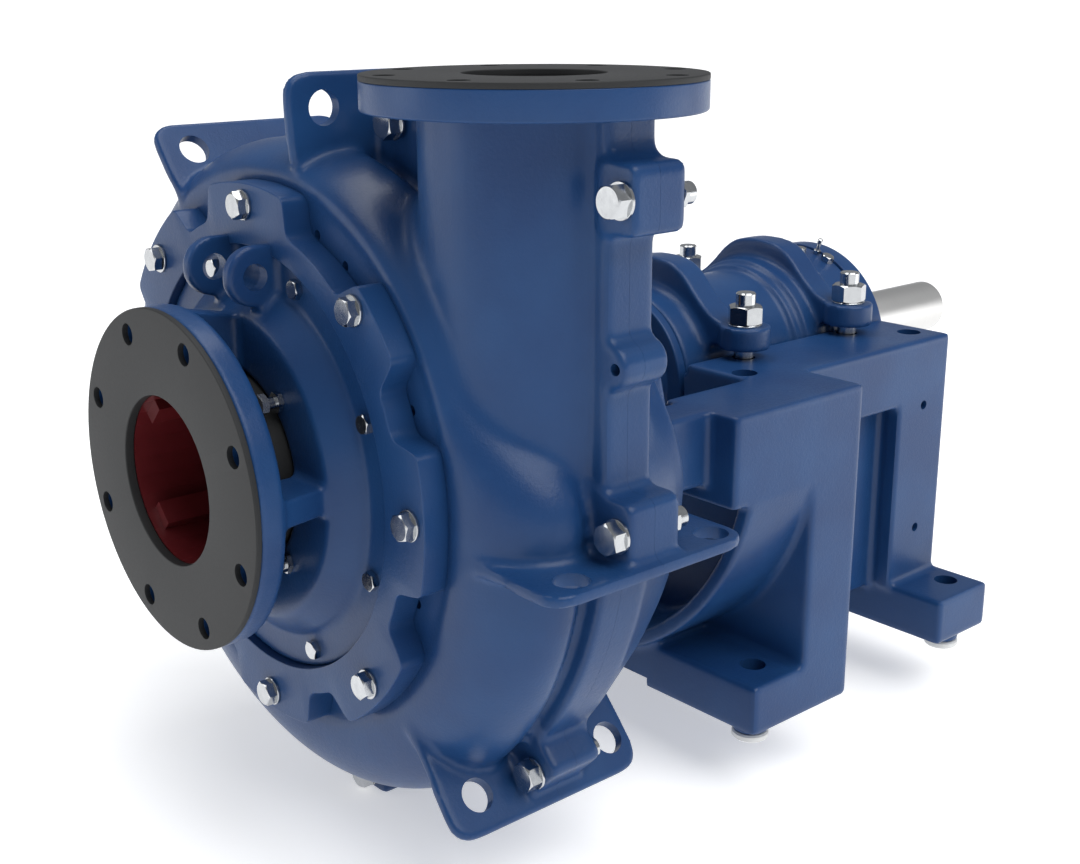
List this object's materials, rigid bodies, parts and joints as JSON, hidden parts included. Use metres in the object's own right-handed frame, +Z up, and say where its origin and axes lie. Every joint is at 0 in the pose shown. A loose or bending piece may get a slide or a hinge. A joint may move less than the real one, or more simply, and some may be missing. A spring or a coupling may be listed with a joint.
{
  "type": "slurry pump",
  "caption": "Horizontal end suction slurry pump with split lined casing, top discharge, packed gland and a bearing cartridge bolted on a cast pedestal.",
  "frame": {"origin": "centre of the shaft's drive end face", "axes": "+X along the shaft, out of its drive end; +Z up, along the discharge; the discharge stands on the -Y side"},
  "size_m": [1.2606, 0.8394, 0.8135],
  "materials": {
    "navy_paint": "glossy navy enamel over cast iron",
    "black_rubber": "moulded rubber",
    "wine_liner": "moulded polyurethane",
    "zinc": "bright zinc plate",
    "shaft_steel": "ground steel",
    "bearing_steel": "hardened bearing steel",
    "white_iron": "as cast high chrome iron",
    "bronze": "machined bronze",
    "packing": "graphite braided packing",
    "nylon": "white nylon"
  },
  "bodies": {
    "pedestal": {"pedestal_frame": "navy_paint", "casing_front": "navy_paint", "casing_back": "navy_paint", "suction_cover": "navy_paint", "suction_spool": "navy_paint", "stuffing_box": "navy_paint", "front_liner": "black_rubber", "back_liner": "black_rubber", "side_liner": "black_rubber", "suction_sleeve": "black_rubber", "discharge_gasket": "black_rubber", "intake_liner": "wine_liner", "cover_bolt_1": "zinc", "cover_bolt_2": "zinc", "cover_bolt_3": "zinc", "cover_bolt_4": "zinc", "cover_bolt_5": "zinc", "cover_bolt_6": "zinc", "cover_bolt_7": "zinc", "cover_bolt_8": "zinc", "parting_bolt_1": "zinc", "parting_bolt_2": "zinc", "parting_bolt_3": "zinc", "parting_bolt_4": "zinc", "parting_bolt_5": "zinc", "parting_bolt_6": "zinc", "parting_bolt_7": "zinc", "hold_down_1": "zinc", "hold_down_2": "zinc", "hold_down_3": "zinc", "hold_down_4": "zinc", "gland_stud_1": "zinc", "gland_stud_2": "zinc", "lantern_ring": "bronze", "packing_ring_1": "packing", "packing_ring_2": "packing", "foot_pad_1": "nylon", "foot_pad_2": "nylon", "foot_pad_3": "nylon", "foot_pad_4": "nylon"},
    "cartridge": {"bearing_housing": "navy_paint", "front_end_cover": "navy_paint", "rear_end_cover": "navy_paint", "front_outer_race": "bearing_steel", "rear_outer_race": "bearing_steel", "adjusting_screw": "zinc"},
    "rotor": {"shaft": "shaft_steel", "shaft_sleeve": "shaft_steel", "impeller": "white_iron", "front_inner_race": "bearing_steel", "rear_inner_race": "bearing_steel"},
    "front_cage": {"front_roller_cage": "bearing_steel"},
    "rear_cage": {"rear_roller_cage": "bearing_steel"},
    "gland_follower": {"gland": "bronze"},
    "wear_ring_carrier": {"wear_ring": "wine_liner", "adjuster_bolt_1": "zinc", "adjuster_bolt_2": "zinc", "adjuster_bolt_3": "zinc", "adjuster_bolt_4": "zinc"}
  },
  "joints": [
    {"name": "cartridge_slide", "type": "slide", "parent": "pedestal", "child": "cartridge", "axis": [1, 0, 0], "range_m": [0, 0.006]},
    {"name": "shaft_spin", "type": "hinge", "parent": "cartridge", "child": "rotor", "pos_m": [0, 0, 0], "axis": [1, 0, 0], "continuous": true},
    {"name": "front_cage_spin", "type": "hinge", "parent": "cartridge", "child": "front_cage", "pos_m": [-0.5706, 0, 0], "axis": [1, 0, 0], "continuous": true},
    {"name": "rear_cage_spin", "type": "hinge", "parent": "cartridge", "child": "rear_cage", "pos_m": [-0.3726, 0, 0], "axis": [1, 0, 0], "continuous": true},
    {"name": "gland_slide", "type": "slide", "parent": "pedestal", "child": "gland_follower", "axis": [1, 0, 0], "range_m": [0, 0.02]},
    {"name": "wear_ring_slide", "type": "slide", "parent": "pedestal", "child": "wear_ring_carrier", "axis": [1, 0, 0], "range_m": [-0.006, 0]}
  ],
  "couplings": [
    {"joint": "front_cage_spin", "follows": "shaft_spin", "ratio": 0.43},
    {"joint": "rear_cage_spin", "follows": "shaft_spin", "ratio": 0.43}
  ]
}
